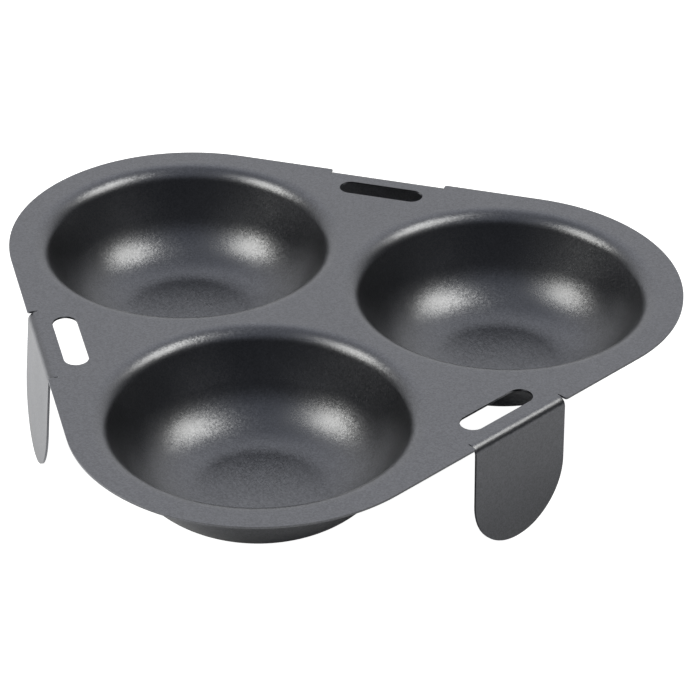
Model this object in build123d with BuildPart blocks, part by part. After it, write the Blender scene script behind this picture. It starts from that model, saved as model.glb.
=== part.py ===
# Three-cup egg poacher insert: one deck of coated steel sheet with three drawn cups and three legs.
# Millimetres, +Z up. The origin lies on the deck's threefold axis, level with the tips of the legs.
# The front cup lies towards -Y and the back leg towards +Y.

import os
from math import cos, hypot, radians, sin

from build123d import *

# Sheet
sheet_thickness = 0.6
sides = 3  # of the deck, with a cup at each corner, a leg and a slot on each side

# Cups: each rolls over a lip into a leaning wall, a rounded corner and a flat base
draw_radius = 42.0  # where the flat deck ends and the lip starts
lip_radius = 3.6  # upper face of the lip
wall_lean = 24.0  # degrees from upright
base_corner_radius = 20.0  # inner face, between the wall and the base
cup_depth = 23.7  # deck top to the inside of the base

# Deck: a triangle with its corners rounded about the cups
web_width = 4.7  # flat sheet left between two cups
rim_width = 6.9  # flat sheet outside each cup, round the deck's corner
deck_height = 34.0  # tips of the legs to the deck top

# Slots, one beside each leg
slot_length = 24.0
slot_width = 6.5
slot_inset = 8.7  # straight side to the slot's middle line

# Legs: tongues with a full round end, bent down from the middle of each straight side
leg_width = 32.5
bend_radius = 1.8  # inner face, three times the sheet so that the coating doesn't crack
leg_splay = {"leg_back": 2.5, "leg_left": 4.2, "leg_right": 1.4}  # degrees out from upright
relief_width = 0.3  # narrow slit at each end of a bend
relief_overrun = 0.3  # slit depth past the start of the bend
relief_corner_radius = 0.6  # deck corner beside a slit

# Positions that follow from the sizes above
cup_pitch_radius = (draw_radius + web_width / 2) / sin(radians(180 / sides))
corner_radius = draw_radius + rim_width
side_distance = cup_pitch_radius * cos(radians(180 / sides)) + corner_radius
lip_underside_radius = lip_radius - sheet_thickness
base_underside_radius = base_corner_radius + sheet_thickness
outer_bend_radius = bend_radius + sheet_thickness
bend_start = side_distance - outer_bend_radius
deck_underside = deck_height - sheet_thickness
slot_distance = side_distance - slot_inset
relief_middle = (leg_width + relief_width) / 2
relief_length = 2 * (outer_bend_radius + relief_overrun)
slit_corner_distance = hypot(side_distance, leg_width / 2 + relief_width)
first_cup = -90
first_side = first_cup + 180 / sides
turn = 360 / sides
cup_angles = {"cup_front": first_cup, "cup_right": first_cup + turn, "cup_left": first_cup + 2 * turn}
leg_angles = {"leg_right": first_side, "leg_back": first_side + turn, "leg_left": first_side + 2 * turn}
lean = radians(wall_lean)
wall_length = (cup_depth - (lip_radius + base_corner_radius) * (1 - sin(lean))) / cos(lean)


def upright_plane(distance, angle, height):
    """Plane through the Z axis: x runs outwards and y upwards, from a point at that distance."""
    outwards = Vector(1, 0, 0).rotate(Axis.Z, angle)
    return Plane(outwards * distance + Vector(0, 0, height), x_dir=outwards, z_dir=outwards.cross(Vector(0, 0, 1)))


def beside_slit(corner):
    """True at the deck corners where a relief slit opens into the straight side."""
    return abs(hypot(corner.X, corner.Y) - slit_corner_distance) < 0.01


def meridian(lift, lip, corner):
    """One face of a cup from the deck in to its axis, that far above the deck top."""
    over_lip = JernArc((draw_radius, lift), (-1, 0), lip, 90 - wall_lean)
    wall = Line(over_lip @ 1, over_lip @ 1 + (over_lip % 1) * wall_length)
    round_corner = JernArc(wall @ 1, wall % 1, corner, wall_lean - 90)
    Line(round_corner @ 1, (0, (round_corner @ 1).Y))


os.makedirs("parts", exist_ok=True)

# Deck: the cups' mouths, the slots and the room for the bends are cut from one plate
with BuildPart() as deck:
    with BuildSketch(Plane.XY.offset(deck_underside)) as plate:
        RegularPolygon(side_distance, sides, major_radius=False, rotation=first_cup)
        fillet(plate.vertices(), corner_radius)
        with PolarLocations(cup_pitch_radius, sides, start_angle=first_cup):
            Circle(draw_radius, mode=Mode.SUBTRACT)
        with PolarLocations(slot_distance, sides, start_angle=first_side):
            SlotOverall(slot_length, slot_width, rotation=90, mode=Mode.SUBTRACT)
        with PolarLocations(side_distance, sides, start_angle=first_side):
            Rectangle(2 * outer_bend_radius, leg_width + 2 * relief_width, mode=Mode.SUBTRACT)
            with Locations((0, relief_middle), (0, -relief_middle)):
                SlotOverall(relief_length, relief_width, mode=Mode.SUBTRACT)
        fillet(plate.vertices().filter_by(beside_slit), relief_corner_radius)
    extrude(amount=sheet_thickness)
deck.part.label = "deck"
export_step(deck.part, "parts/deck.step")

# Cups: both faces of the sheet share their centres, so the wall keeps one thickness
for name, angle in cup_angles.items():
    section_plane = upright_plane(cup_pitch_radius, angle, deck_height)
    with BuildPart() as cup:
        with BuildSketch(section_plane):
            with BuildLine():
                meridian(0, lip_radius, base_corner_radius)
                meridian(-sheet_thickness, lip_underside_radius, base_underside_radius)
                Line((draw_radius, 0), (draw_radius, -sheet_thickness))
                Line((0, -cup_depth), (0, -cup_depth - sheet_thickness))
            make_face()
        revolve(axis=Axis(section_plane.origin, (0, 0, 1)))
    cup.part.label = name
    export_step(cup.part, f"parts/{name}.step")

# Legs: a quarter bend, then a flat tongue that leans out and ends in a full round on the ground
for name, angle in leg_angles.items():
    splay = radians(leg_splay[name])
    bend_middle = upright_plane(bend_start, angle, deck_height - outer_bend_radius)
    outwards = bend_middle.x_dir * cos(splay) + Vector(0, 0, sin(splay))
    downwards = bend_middle.x_dir * sin(splay) - Vector(0, 0, cos(splay))
    tongue_plane = Plane(bend_middle.origin + outwards * bend_radius, x_dir=downwards, z_dir=outwards)
    tongue_length = (deck_height - outer_bend_radius + bend_radius * sin(splay)) / cos(splay)
    straight_length = tongue_length - leg_width / 2
    with BuildPart() as leg:
        with BuildSketch(bend_middle):
            with BuildLine():
                outer = JernArc((0, outer_bend_radius), (1, 0), outer_bend_radius, leg_splay[name] - 90)
                inner = JernArc((0, bend_radius), (1, 0), bend_radius, leg_splay[name] - 90)
                Line(outer @ 0, inner @ 0)
                Line(outer @ 1, inner @ 1)
            make_face()
        extrude(amount=leg_width / 2, both=True)
        with BuildSketch(tongue_plane):
            Rectangle(straight_length, leg_width, align=(Align.MIN, Align.CENTER))
            with Locations((straight_length, 0)):
                Circle(leg_width / 2)
        extrude(amount=sheet_thickness)
    leg.part.label = name
    export_step(leg.part, f"parts/{name}.step")
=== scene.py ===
from math import cos, pi, radians, sin

import bmesh
import bpy
from mathutils import Matrix, Vector


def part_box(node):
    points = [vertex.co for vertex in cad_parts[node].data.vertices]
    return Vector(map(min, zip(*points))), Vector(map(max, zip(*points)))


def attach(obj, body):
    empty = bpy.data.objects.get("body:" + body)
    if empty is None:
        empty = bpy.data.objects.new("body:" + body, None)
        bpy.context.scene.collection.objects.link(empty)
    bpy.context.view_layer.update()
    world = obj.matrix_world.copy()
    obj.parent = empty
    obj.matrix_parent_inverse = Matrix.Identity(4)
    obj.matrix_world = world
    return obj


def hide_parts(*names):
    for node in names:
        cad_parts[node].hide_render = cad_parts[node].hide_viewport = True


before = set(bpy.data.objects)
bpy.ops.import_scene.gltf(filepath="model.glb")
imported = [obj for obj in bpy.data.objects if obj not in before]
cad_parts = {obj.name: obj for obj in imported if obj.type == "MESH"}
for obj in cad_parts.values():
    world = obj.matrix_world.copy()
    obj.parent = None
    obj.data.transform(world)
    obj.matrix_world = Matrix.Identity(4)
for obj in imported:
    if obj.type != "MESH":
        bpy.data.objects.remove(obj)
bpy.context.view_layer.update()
scene = bpy.context.scene
mm = 0.001
white = (1, 1, 1, 1)

# The whole object is one sheet of steel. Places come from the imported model, and sizes are those of
# its solids where no comment says otherwise
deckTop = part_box("deck")[1].z
sheet = {
    "thickness": 0.6 * mm,
    "edgeRound": 0.12 * mm,  # coating softens every cut edge
    "edgeSteps": 3,
    "sharpAngle": radians(40),  # shading breaks at edges steeper than this
    "seamReach": 0.02 * mm,  # edges this near a seam stay square, so that the sheet runs on
    "weldReach": 0.001 * mm,
}
print("frame loaded, deck top at", round(deckTop / mm, 2), "mm")


def addNode(tree, kind, settings=None, inputs=None):
    node = tree.nodes.new(kind)
    for name, value in (settings or {}).items():
        setattr(node, name, value)
    for socket, value in (inputs or {}).items():
        if isinstance(value, bpy.types.NodeSocket):
            tree.links.new(value, node.inputs[socket])
        else:
            node.inputs[socket].default_value = value
    return node


def linearColour(hexCode):
    channels = [int(hexCode[i:i + 2], 16) / 255 for i in (1, 3, 5)]
    return [c / 12.92 if c <= 0.04045 else ((c + 0.055) / 1.055) ** 2.4 for c in channels] + [1.0]


def emptyTree(owner):
    owner.use_nodes = True
    owner.node_tree.nodes.clear()
    return owner.node_tree


# Coating

coating = {
    "colour": "#7b7c80",
    "metallic": 1.0,
    "roughness": 0.345,
    "roughnessSpread": 0.02,  # cloudy, as a sprayed coat is
    "cloudSize": 14 * mm,
    "cloudRange": (0.3, 0.7),  # noise seldom leaves it
    "flakeSize": 0.36 * mm,  # real flake is about 0.05 mm, drawn coarser so that it shows
    "flakeTilt": 0.065,  # sideways share of a flake's normal
    "flakeShade": 0.14,  # some flakes darker and some lighter than the coat
    "peelSize": 1.1 * mm,  # orange peel left by spraying
    "peelHeight": 0.0012 * mm,
}


# PTFE non-stick coat with mica flake, sprayed and baked on steel: dark satin grey, its highlights
# broken up by tiny bright specks
def makeFlakedNonStick(sizes):
    material = bpy.data.materials.new("flakedNonStickCoat")
    tree = emptyTree(material)
    place = addNode(tree, "ShaderNodeTexCoord").outputs["Object"]
    flakes = addNode(tree, "ShaderNodeTexVoronoi", {"feature": "F1"}, {
        "Vector": place, "Scale": 1 / sizes["flakeSize"], "Randomness": 1.0})
    clouds = addNode(tree, "ShaderNodeTexNoise", {}, {
        "Vector": place, "Scale": 1 / sizes["cloudSize"], "Detail": 3.0})
    peel = addNode(tree, "ShaderNodeTexNoise", {}, {
        "Vector": place, "Scale": 1 / sizes["peelSize"], "Detail": 2.0})

    # Each flake lies at its own small angle
    tilt = addNode(tree, "ShaderNodeVectorMath", {"operation": "SUBTRACT"}, {
        0: flakes.outputs["Color"], 1: (0.5, 0.5, 0.5)})
    smallTilt = addNode(tree, "ShaderNodeVectorMath", {"operation": "SCALE"}, {
        0: tilt.outputs[0], "Scale": sizes["flakeTilt"]})
    surface = addNode(tree, "ShaderNodeNewGeometry").outputs["Normal"]
    tilted = addNode(tree, "ShaderNodeVectorMath", {"operation": "ADD"}, {
        0: surface, 1: smallTilt.outputs[0]})
    flakeNormal = addNode(tree, "ShaderNodeVectorMath", {"operation": "NORMALIZE"}, {
        0: tilted.outputs[0]})
    bumped = addNode(tree, "ShaderNodeBump", {}, {
        "Height": peel.outputs["Fac"], "Distance": sizes["peelHeight"], "Strength": 1.0,
        "Normal": flakeNormal.outputs[0]})

    specks = addNode(tree, "ShaderNodeSeparateColor", {}, {"Color": flakes.outputs["Color"]})
    shade = addNode(tree, "ShaderNodeMapRange", {}, {
        "Value": specks.outputs["Red"],
        "To Min": 1 - sizes["flakeShade"], "To Max": 1 + sizes["flakeShade"]})
    colour = addNode(tree, "ShaderNodeVectorMath", {"operation": "SCALE"}, {
        0: linearColour(sizes["colour"])[:3], "Scale": shade.outputs["Result"]})
    gloss = addNode(tree, "ShaderNodeMapRange", {}, {
        "Value": clouds.outputs["Fac"],
        "From Min": sizes["cloudRange"][0], "From Max": sizes["cloudRange"][1],
        "To Min": sizes["roughness"] - sizes["roughnessSpread"],
        "To Max": sizes["roughness"] + sizes["roughnessSpread"]})
    skin = addNode(tree, "ShaderNodeBsdfPrincipled", {}, {
        "Base Color": colour.outputs[0], "Metallic": sizes["metallic"],
        "Roughness": gloss.outputs["Result"], "Normal": bumped.outputs["Normal"]})
    addNode(tree, "ShaderNodeOutputMaterial", {}, {"Surface": skin.outputs["BSDF"]})
    return material


coat = makeFlakedNonStick(coating)
print("coating made")


# Shared by the pieces

def finishPiece(source, name, node):
    depsgraph = bpy.context.evaluated_depsgraph_get()
    mesh = bpy.data.meshes.new_from_object(source.evaluated_get(depsgraph))
    bpy.data.objects.remove(source)
    mesh.name = name
    mesh.shade_smooth()
    mesh.set_sharp_from_angle(angle=sheet["sharpAngle"])
    if not mesh.materials:
        mesh.materials.append(coat)
    piece = bpy.data.objects.new(name, mesh)
    scene.collection.objects.link(piece)
    weigh = piece.modifiers.new("flatFacesLead", "WEIGHTED_NORMAL")
    weigh.mode = "FACE_AREA"
    weigh.weight = 100
    weigh.keep_sharp = True
    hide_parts(node)
    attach(piece, "root")
    print(name, len(mesh.polygons), "faces")


def looseObject(name, content):
    holder = bpy.data.objects.new(name, content)
    scene.collection.objects.link(holder)
    return holder


def thicken(name, points, downs, faces, isSeam):
    # Lower face, rim walls and rounded rims for one open face of sheet
    count = len(points)
    lower = [p + d * sheet["thickness"] for p, d in zip(points, downs)]
    sides = {(a, b) for f in faces for a, b in zip(f, f[1:] + f[:1])}
    rim = [(a, b) for a, b in sides if (b, a) not in sides]
    walls = [(b, a, a + count, b + count) for a, b in rim]
    flipped = [tuple(i + count for i in reversed(f)) for f in faces]
    mesh = bpy.data.meshes.new(name)
    mesh.from_pydata(points + lower, [], [tuple(f) for f in faces] + flipped + walls)
    bm = bmesh.new()
    bm.from_mesh(mesh)
    bm.verts.ensure_lookup_table()
    cut = []
    for a, b in rim:
        if not isSeam(points[a], points[b]):
            cut.append(bm.edges.get((bm.verts[a], bm.verts[b])))
            cut.append(bm.edges.get((bm.verts[a + count], bm.verts[b + count])))
    bmesh.ops.bevel(bm, geom=cut, offset=sheet["edgeRound"], offset_type="OFFSET",
                    segments=sheet["edgeSteps"], profile=0.5, affect="EDGES", clamp_overlap=True)
    bmesh.ops.recalc_face_normals(bm, faces=bm.faces)
    bm.to_mesh(mesh)
    bm.free()
    return looseObject(name + "Draft", mesh)


# Cups

cup = {
    "drawRadius": 42.8 * mm,  # where the flat deck ends, 0.8 mm further out than on the solid
    "lipRadius": 5.4 * mm,  # softer than the solid's 3.6 mm, as the coated lip looks
    "wallLean": radians(24),
    "cornerRadius": 20.0 * mm,
    "depth": 23.7 * mm,
    "collar": 0.4 * mm,  # a little of the flat deck, so that the seam lies where nothing bends
    "around": 192,
    "lipSteps": 20,
    "cornerSteps": 28,
}


def makeCupTree():
    tree = bpy.data.node_groups.new("drawnCup", "GeometryNodeTree")
    face = tree.interface
    face.new_socket("Geometry", in_out="OUTPUT", socket_type="NodeSocketGeometry")
    for name in ["Draw Radius", "Lip Radius", "Wall Lean", "Corner Radius", "Depth", "Collar"]:
        face.new_socket(name, in_out="INPUT", socket_type="NodeSocketFloat")
    for name in ["Lip Steps", "Corner Steps", "Around"]:
        face.new_socket(name, in_out="INPUT", socket_type="NodeSocketInt")
    face.new_socket("Centre", in_out="INPUT", socket_type="NodeSocketVector")
    face.new_socket("Finish", in_out="INPUT", socket_type="NodeSocketMaterial")
    given = addNode(tree, "NodeGroupInput").outputs
    index = addNode(tree, "GeometryNodeInputIndex").outputs[0]

    # Meridian: deck, wall and base as three straight lines, the two corners between them filleted
    mouth = addNode(tree, "ShaderNodeMath", {"operation": "ADD"}, {
        0: given["Draw Radius"], 1: given["Collar"]})
    halfSteep = addNode(tree, "ShaderNodeMath", {"operation": "MULTIPLY_ADD"}, {
        0: given["Wall Lean"], 1: -0.5, 2: pi / 4})
    steepTangent = addNode(tree, "ShaderNodeMath", {"operation": "TANGENT"}, {0: halfSteep.outputs[0]})
    lipReach = addNode(tree, "ShaderNodeMath", {"operation": "MULTIPLY"}, {
        0: given["Lip Radius"], 1: steepTangent.outputs[0]})
    lipCorner = addNode(tree, "ShaderNodeMath", {"operation": "SUBTRACT"}, {
        0: given["Draw Radius"], 1: lipReach.outputs[0]})
    leanTangent = addNode(tree, "ShaderNodeMath", {"operation": "TANGENT"}, {0: given["Wall Lean"]})
    wallReach = addNode(tree, "ShaderNodeMath", {"operation": "MULTIPLY"}, {
        0: given["Depth"], 1: leanTangent.outputs[0]})
    baseCorner = addNode(tree, "ShaderNodeMath", {"operation": "SUBTRACT"}, {
        0: lipCorner.outputs[0], 1: wallReach.outputs[0]})
    base = addNode(tree, "ShaderNodeMath", {"operation": "MULTIPLY"}, {0: given["Depth"], 1: -1.0})
    corners = addNode(tree, "GeometryNodeIndexSwitch", {"data_type": "VECTOR"}, {"Index": index})
    corners.index_switch_items.new()
    corners.index_switch_items.new()
    places = [
        (mouth.outputs[0], 0.0),
        (lipCorner.outputs[0], 0.0),
        (baseCorner.outputs[0], base.outputs[0]),
        (0.0, base.outputs[0]),
    ]
    for item, (out, up) in enumerate(places):
        corner = addNode(tree, "ShaderNodeCombineXYZ", {}, {"X": out, "Z": up})
        tree.links.new(corner.outputs[0], corners.inputs[item + 1])
    line = addNode(tree, "GeometryNodeMeshLine", {}, {"Count": 4})
    path = addNode(tree, "GeometryNodeMeshToCurve", {}, {"Mesh": line.outputs["Mesh"]})
    bent = addNode(tree, "GeometryNodeSetPosition", {}, {
        "Geometry": path.outputs["Curve"], "Position": corners.outputs["Output"]})
    isLip = addNode(tree, "FunctionNodeCompare", {"data_type": "INT", "operation": "EQUAL"}, {
        2: index, 3: 1})
    radius = addNode(tree, "GeometryNodeSwitch", {"input_type": "FLOAT"}, {
        "Switch": isLip.outputs[0], "False": given["Corner Radius"], "True": given["Lip Radius"]})
    steps = addNode(tree, "GeometryNodeSwitch", {"input_type": "INT"}, {
        "Switch": isLip.outputs[0], "False": given["Corner Steps"], "True": given["Lip Steps"]})
    meridian = addNode(tree, "GeometryNodeFilletCurve", {"mode": "POLY"}, {
        "Curve": bent.outputs["Geometry"], "Count": steps.outputs["Output"],
        "Radius": radius.outputs["Output"]})
    points = addNode(tree, "GeometryNodeCurveToPoints", {"mode": "EVALUATED"}, {
        "Curve": meridian.outputs["Curve"]})
    total = addNode(tree, "GeometryNodeAttributeDomainSize", {"component": "POINTCLOUD"}, {
        "Geometry": points.outputs["Points"]}).outputs["Point Count"]

    # Surface: a grid laid along the meridian one way and round the cup's axis the other
    columns = addNode(tree, "FunctionNodeIntegerMath", {"operation": "ADD"}, {
        0: given["Around"], 1: 1}).outputs[0]
    grid = addNode(tree, "GeometryNodeMeshGrid", {}, {"Vertices X": total, "Vertices Y": columns})
    row = addNode(tree, "FunctionNodeIntegerMath", {"operation": "DIVIDE_FLOOR"}, {0: index, 1: columns})
    column = addNode(tree, "FunctionNodeIntegerMath", {"operation": "MODULO"}, {0: index, 1: columns})
    # Clockwise, so that the faces look up
    columnTurn = addNode(tree, "ShaderNodeMath", {"operation": "DIVIDE"}, {0: -2 * pi, 1: given["Around"]})
    turn = addNode(tree, "ShaderNodeMath", {"operation": "MULTIPLY"}, {
        0: column.outputs[0], 1: columnTurn.outputs[0]})
    here = addNode(tree, "GeometryNodeInputPosition").outputs[0]
    sample = addNode(tree, "GeometryNodeSampleIndex", {"data_type": "FLOAT_VECTOR", "domain": "POINT"}, {
        "Geometry": points.outputs["Points"], "Value": here, "Index": row.outputs[0]})
    swung = addNode(tree, "ShaderNodeVectorRotate", {"rotation_type": "Z_AXIS"}, {
        "Vector": sample.outputs["Value"], "Angle": turn.outputs[0]})
    moved = addNode(tree, "ShaderNodeVectorMath", {"operation": "ADD"}, {
        0: swung.outputs[0], 1: given["Centre"]})
    shaped = addNode(tree, "GeometryNodeSetPosition", {}, {
        "Geometry": grid.outputs["Mesh"], "Position": moved.outputs[0]})
    closed = addNode(tree, "GeometryNodeMergeByDistance", {}, {
        "Geometry": shaped.outputs["Geometry"], "Distance": sheet["weldReach"]})
    real = addNode(tree, "GeometryNodeRealizeInstances", {}, {"Geometry": closed.outputs["Geometry"]})
    finished = addNode(tree, "GeometryNodeSetMaterial", {}, {
        "Geometry": real.outputs["Geometry"], "Material": given["Finish"]})
    addNode(tree, "NodeGroupOutput", {}, {"Geometry": finished.outputs["Geometry"]})
    return tree


def makeCup(tree, name, node):
    holder = looseObject(name + "Draft", bpy.data.meshes.new(name))
    draw = holder.modifiers.new("draw", "NODES")
    draw.node_group = tree
    values = {
        "Draw Radius": cup["drawRadius"],
        "Lip Radius": cup["lipRadius"],
        "Wall Lean": cup["wallLean"],
        "Corner Radius": cup["cornerRadius"],
        "Depth": cup["depth"],
        "Collar": cup["collar"],
        "Lip Steps": cup["lipSteps"],
        "Corner Steps": cup["cornerSteps"],
        "Around": cup["around"],
        "Centre": cupCentres[node].to_3d() + Vector((0, 0, deckTop)),
        "Finish": coat,
    }
    for socket in tree.interface.items_tree:
        if socket.in_out == "INPUT":
            draw[socket.identifier] = values[socket.name]
    gauge = holder.modifiers.new("gauge", "SOLIDIFY")
    gauge.thickness = sheet["thickness"]
    gauge.offset = -1  # the drawn face stays the upper one
    gauge.use_even_offset = True
    finishPiece(holder, name, node)


cupCentres = {}
for cupNode in ["cup_front", "cup_left", "cup_right"]:
    low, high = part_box(cupNode)
    cupCentres[cupNode] = Vector(((low.x + high.x) / 2, (low.y + high.y) / 2))
cupTree = makeCupTree()
for cupName, cupNode in {"cupFront": "cup_front", "cupLeft": "cup_left", "cupRight": "cup_right"}.items():
    makeCup(cupTree, cupName, cupNode)
print("cups drawn")


# Deck

deck = {
    "cornerRadius": 48.9 * mm,  # about each cup's axis
    "slotLength": 24.0 * mm,
    "slotWidth": 6.5 * mm,
    "slotInset": 8.7 * mm,  # side to the slot's middle line
    "legWidth": 32.5 * mm,
    "bendRadius": 2.4 * mm,  # upper face of the bend
    "slitWidth": 0.3 * mm,
    "slitOverrun": 0.3 * mm,  # past the start of the bend
    "slitCorner": 0.6 * mm,
    "arcStep": radians(2.5),
    "slotStep": radians(7.5),
    "slitCornerStep": radians(15),
    "slitEndStep": radians(22.5),
}
pitch = cupCentres["cup_front"].length
sideDistance = pitch / 2 + deck["cornerRadius"]
bendStart = sideDistance - deck["bendRadius"]
sideAngles = {"leg_right": radians(-30), "leg_back": radians(90), "leg_left": radians(210)}


def arc(centre, radius, start, end, step):
    count = max(2, round(abs(end - start) / step))
    return [centre + radius * Vector((cos(a), sin(a)))
            for a in (start + (end - start) * i / count for i in range(count + 1))]


def turned(points, angle):
    return [Vector((p.x * cos(angle) - p.y * sin(angle), p.x * sin(angle) + p.y * cos(angle)))
            for p in points]


def slit():
    # From the straight side round into the slit beside a leg, and back out to the start of the bend
    half = deck["slitWidth"] / 2
    middle = deck["legWidth"] / 2 + half
    soft = deck["slitCorner"]
    corner = Vector((sideDistance - soft, middle + half + soft))
    end = Vector((bendStart - deck["slitOverrun"] + half, middle))
    points = arc(corner, soft, 0, -pi / 2, deck["slitCornerStep"])
    points += arc(end, half, pi / 2, 3 * pi / 2, deck["slitEndStep"])
    return points + [Vector((bendStart, deck["legWidth"] / 2))]


def outline():
    points = []
    for angle in sideAngles.values():
        inwards = slit()
        side = [Vector((p.x, -p.y)) for p in inwards] + inwards[::-1]
        points += turned(side, angle)
        cupAxis = pitch * Vector((cos(angle + pi / 3), sin(angle + pi / 3)))
        points += arc(cupAxis, deck["cornerRadius"], angle, angle + 2 * pi / 3, deck["arcStep"])
    return points


def slot():
    end = (deck["slotLength"] - deck["slotWidth"]) / 2
    middle = sideDistance - deck["slotInset"]
    radius = deck["slotWidth"] / 2
    points = arc(Vector((middle, end)), radius, 0, pi, deck["slotStep"])
    return points + arc(Vector((middle, -end)), radius, pi, 2 * pi, deck["slotStep"])


def makeDeck():
    mouthRadius = cup["drawRadius"] + cup["collar"]
    loops = [outline()] + [turned(slot(), angle) for angle in sideAngles.values()]
    for centre in cupCentres.values():
        loops.append(arc(centre, mouthRadius, 0, 2 * pi, 2 * pi / cup["around"])[:-1])
    bm = bmesh.new()
    for loop in loops:
        verts = [bm.verts.new((p.x, p.y, deckTop)) for p in loop]
        for first, second in zip(verts, verts[1:] + verts[:1]):
            bm.edges.new((first, second))
    bmesh.ops.triangle_fill(bm, edges=bm.edges[:], use_beauty=True, use_dissolve=False)
    bm.verts.index_update()
    points = [v.co.copy() for v in bm.verts]
    faces = [[v.index for v in (f.verts if f.normal.z > 0 else reversed(f.verts))] for f in bm.faces]
    bm.free()

    def isSeam(first, second):
        middle = ((first + second) / 2).to_2d()
        if any(abs((middle - c).length - mouthRadius) < sheet["seamReach"] for c in cupCentres.values()):
            return True
        for angle in sideAngles.values():
            local = turned([middle], -angle)[0]
            if abs(local.x - bendStart) < sheet["seamReach"] and abs(local.y) < deck["legWidth"] / 2:
                return True
        return False

    draft = thicken("deck", points, [Vector((0, 0, -1))] * len(points), faces, isSeam)
    finishPiece(draft, "deckPlate", "deck")


makeDeck()


# Legs

leg = {
    "splay": {"leg_back": radians(2.5), "leg_left": radians(4.2), "leg_right": radians(1.4)},
    "bendSteps": 18,
    "straightSteps": 8,
    "endSteps": 24,
    "across": 28,
}


def makeLeg(name, node):
    splay = leg["splay"][node]
    angle = sideAngles[node]
    outwards = Vector((cos(angle), sin(angle), 0))
    along = Vector((-sin(angle), cos(angle), 0))
    radius = deck["bendRadius"]
    innerRadius = radius - sheet["thickness"]
    half = deck["legWidth"] / 2
    length = (deckTop - radius + innerRadius * sin(splay)) / cos(splay)
    bendAxis = outwards * bendStart + Vector((0, 0, deckTop - radius))
    rows = []  # middle of the row, half its width and its outward normal
    for i in range(leg["bendSteps"] + 1):
        turn = (pi / 2 - splay) * i / leg["bendSteps"]
        normal = outwards * sin(turn) + Vector((0, 0, cos(turn)))
        rows.append((bendAxis + normal * radius, half, normal))
    foot, _, normal = rows[-1]
    down = outwards * sin(splay) - Vector((0, 0, cos(splay)))
    for i in range(1, leg["straightSteps"] + 1):
        rows.append((foot + down * (length - half) * i / leg["straightSteps"], half, normal))
    for i in range(1, leg["endSteps"]):
        turn = pi / 2 * i / leg["endSteps"]
        rows.append((foot + down * (length - half + half * sin(turn)), half * cos(turn), normal))
    columns = leg["across"]
    points = [middle + along * width * (2 * j / columns - 1)
              for middle, width, normal in rows for j in range(columns + 1)]
    downs = [-normal for middle, width, normal in rows for j in range(columns + 1)]
    points.append(foot + down * length)
    downs.append(-normal)
    faces = []
    for i in range(len(rows) - 1):
        for j in range(columns):
            first = i * (columns + 1) + j
            faces.append([first, first + columns + 1, first + columns + 2, first + 1])
    last = (len(rows) - 1) * (columns + 1)
    faces += [[last + j, len(points) - 1, last + j + 1] for j in range(columns)]

    def isSeam(first, second):
        return all(abs(end.dot(outwards) - bendStart) < sheet["seamReach"] for end in (first, second))

    finishPiece(thicken(name, points, downs, faces, isSeam), name, node)


for legName, legNode in {"legBack": "leg_back", "legLeft": "leg_left", "legRight": "leg_right"}.items():
    makeLeg(legName, legNode)
print("deck and legs made")


# Floor, light and camera

def direction(azimuth, elevation):
    return Vector((sin(azimuth) * cos(elevation), -cos(azimuth) * cos(elevation), sin(elevation)))


paleFloor = {
    "reach": 3.0,
    "colour": "#e4e4e4",
    "brightAzimuth": radians(-95),
    "brightLevel": 0.72,
    "brightCosine": 0.8,  # of the turn away from the bright side
    "dimLevel": 0.03,
    "dimCosine": -0.2,
    "paintedShadowRadius": 55 * mm,  # painted shadow under the object
    "openRadius": 85 * mm,
}


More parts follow.
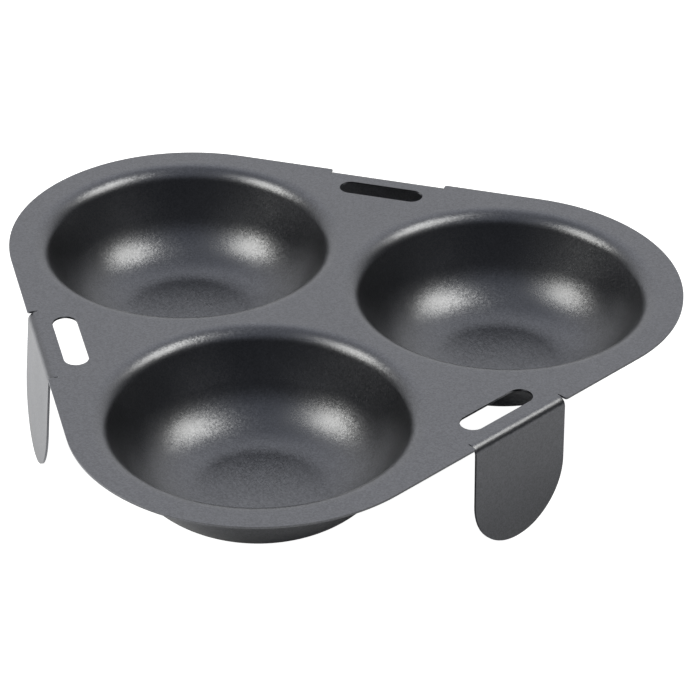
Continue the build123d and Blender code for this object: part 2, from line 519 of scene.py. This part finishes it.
def makeFloor():
    mesh = bpy.data.meshes.new("floor")
    reach = paleFloor["reach"]
    corners = [(-reach, -reach, 0), (reach, -reach, 0), (reach, reach, 0), (-reach, reach, 0)]
    mesh.from_pydata(corners, [], [(0, 1, 2, 3)])
    floor = looseObject("floor", mesh)
    material = bpy.data.materials.new("paleFloor")
    tree = emptyTree(material)
    ray = addNode(tree, "ShaderNodeLightPath").outputs
    place = addNode(tree, "ShaderNodeTexCoord").outputs["Object"]
    # White to the camera. Mirrored in the metal it glows as a painted pool of light, bright on the left
    # and dim on the right, with a painted shadow under the object
    way = addNode(tree, "ShaderNodeVectorMath", {"operation": "NORMALIZE"}, {0: place})
    side = addNode(tree, "ShaderNodeVectorMath", {"operation": "DOT_PRODUCT"}, {
        0: way.outputs[0], 1: direction(paleFloor["brightAzimuth"], 0)})
    pool = addNode(tree, "ShaderNodeMapRange", {"interpolation_type": "SMOOTHSTEP"}, {
        "Value": side.outputs["Value"],
        "From Min": paleFloor["dimCosine"], "From Max": paleFloor["brightCosine"],
        "To Min": paleFloor["dimLevel"], "To Max": paleFloor["brightLevel"]})
    away = addNode(tree, "ShaderNodeVectorMath", {"operation": "LENGTH"}, {0: place})
    outsidePaintedShadow = addNode(tree, "ShaderNodeMapRange", {"interpolation_type": "SMOOTHSTEP"}, {
        "Value": away.outputs["Value"],
        "From Min": paleFloor["paintedShadowRadius"], "From Max": paleFloor["openRadius"]})
    # Painted pool of light, left out under the object where the painted shadow lies
    paintedLightPool = addNode(tree, "ShaderNodeMath", {"operation": "MULTIPLY"}, {
        0: outsidePaintedShadow.outputs["Result"], 1: pool.outputs["Result"]})
    # The floor glows with this painted light only in reflections: a painted reflection
    paintedReflection = addNode(tree, "ShaderNodeMath", {"operation": "MULTIPLY"}, {
        0: ray["Is Glossy Ray"], 1: paintedLightPool.outputs[0]})
    shown = addNode(tree, "ShaderNodeMath", {"operation": "MAXIMUM"}, {
        0: ray["Is Camera Ray"], 1: paintedReflection.outputs[0]})
    matt = addNode(tree, "ShaderNodeBsdfDiffuse", {}, {"Color": linearColour(paleFloor["colour"])})
    glow = addNode(tree, "ShaderNodeEmission", {}, {"Color": white, "Strength": shown.outputs[0]})
    lit = addNode(tree, "ShaderNodeAddShader", {}, {0: matt.outputs[0], 1: glow.outputs[0]})
    # See-through from below, so that the underside can be looked at
    below = addNode(tree, "ShaderNodeNewGeometry").outputs["Backfacing"]
    seeThrough = addNode(tree, "ShaderNodeBsdfTransparent")
    oneSided = addNode(tree, "ShaderNodeMixShader", {}, {
        "Fac": below, 1: lit.outputs[0], 2: seeThrough.outputs[0]})
    addNode(tree, "ShaderNodeOutputMaterial", {}, {"Surface": oneSided.outputs[0]})
    mesh.materials.append(material)


room = {
    "backdropAzimuth": radians(-160),
    "backdropElevation": radians(12),
    "backdropLevel": 0.77,
    "backdropCoreCosine": 0.95,  # of the turn away from its middle
    "backdropRimCosine": 0.3,
    "overheadColour": "#e6edff",
    "overheadLevel": 0.27,
    "overheadHeight": 0.85,  # sine of the elevation
    "darkLevel": 0.04,
    "darkHeight": 0.5,
}


def makeWorld():
    world = bpy.data.worlds.new("studio")
    scene.world = world
    tree = emptyTree(world)
    ray = addNode(tree, "ShaderNodeLightPath").outputs["Is Camera Ray"]
    way = addNode(tree, "ShaderNodeTexCoord").outputs["Generated"]
    # Pale backdrop behind the object, a dark room before it and some cool light overhead
    behind = addNode(tree, "ShaderNodeVectorMath", {"operation": "DOT_PRODUCT"}, {
        0: way, 1: direction(room["backdropAzimuth"], room["backdropElevation"])})
    backdrop = addNode(tree, "ShaderNodeMapRange", {"interpolation_type": "SMOOTHSTEP"}, {
        "Value": behind.outputs["Value"],
        "From Min": room["backdropRimCosine"], "From Max": room["backdropCoreCosine"],
        "To Min": 0.0, "To Max": room["backdropLevel"]})
    height = addNode(tree, "ShaderNodeSeparateXYZ", {}, {"Vector": way}).outputs["Z"]
    overhead = addNode(tree, "ShaderNodeMapRange", {"interpolation_type": "SMOOTHSTEP"}, {
        "Value": height, "From Min": room["darkHeight"], "From Max": room["overheadHeight"],
        "To Min": room["darkLevel"], "To Max": room["overheadLevel"]})
    pale = addNode(tree, "ShaderNodeBackground", {}, {
        "Color": white, "Strength": backdrop.outputs["Result"]})
    cool = addNode(tree, "ShaderNodeBackground", {}, {
        "Color": linearColour(room["overheadColour"]), "Strength": overhead.outputs["Result"]})
    light = addNode(tree, "ShaderNodeAddShader", {}, {0: pale.outputs[0], 1: cool.outputs[0]})
    seen = addNode(tree, "ShaderNodeBackground", {}, {"Color": white, "Strength": 1.0})
    both = addNode(tree, "ShaderNodeMixShader", {}, {"Fac": ray, 1: light.outputs[0], 2: seen.outputs[0]})
    addNode(tree, "ShaderNodeOutputWorld", {}, {"Surface": both.outputs[0]})


softbox = {
    "distance": 1.1,
    "diameter": 0.6,
    "power": 3.7,  # watts
    "colour": "#fffdf3",
    "right": {"azimuth": radians(107), "elevation": radians(54)},
    "left": {"azimuth": radians(-66), "elevation": radians(43)},
}


def makeSoftbox(name, place):
    lamp = bpy.data.lights.new(name, "AREA")
    lamp.shape = "DISK"
    lamp.size = softbox["diameter"]
    lamp.energy = softbox["power"]
    lamp.color = linearColour(softbox["colour"])[:3]
    way = direction(place["azimuth"], place["elevation"])
    holder = looseObject(name, lamp)
    holder.location = way * softbox["distance"]
    holder.rotation_euler = way.to_track_quat("Z", "Y").to_euler()


view = {
    "azimuth": radians(15.39),
    "elevation": radians(32.63),
    "roll": radians(0.58),
    "distance": 775.8 * mm,
    "aim": Vector((14.08 * mm, -16.72 * mm, deckTop)),
    "sensorWidth": 36,  # millimetres here, as for the lens
    "lens": 153.7,
    "clipStart": 0.01,
}


def makeCamera():
    backwards = direction(view["azimuth"], view["elevation"])
    right = Vector((cos(view["azimuth"]), sin(view["azimuth"]), 0))
    up = backwards.cross(right)
    across = right * cos(view["roll"]) + up * sin(view["roll"])
    upwards = up * cos(view["roll"]) - right * sin(view["roll"])
    camera = bpy.data.cameras.new("camera")
    camera.sensor_width = view["sensorWidth"]
    camera.lens = view["lens"]
    camera.clip_start = view["clipStart"]
    holder = looseObject("camera", camera)
    turn = Matrix((across, upwards, backwards)).transposed().to_4x4()
    holder.matrix_world = Matrix.Translation(view["aim"] + backwards * view["distance"]) @ turn
    scene.camera = holder


makeFloor()
makeWorld()
makeSoftbox("softboxRight", softbox["right"])
makeSoftbox("softboxLeft", softbox["left"])
makeCamera()
scene.view_settings.view_transform = "Standard"
print("studio set")
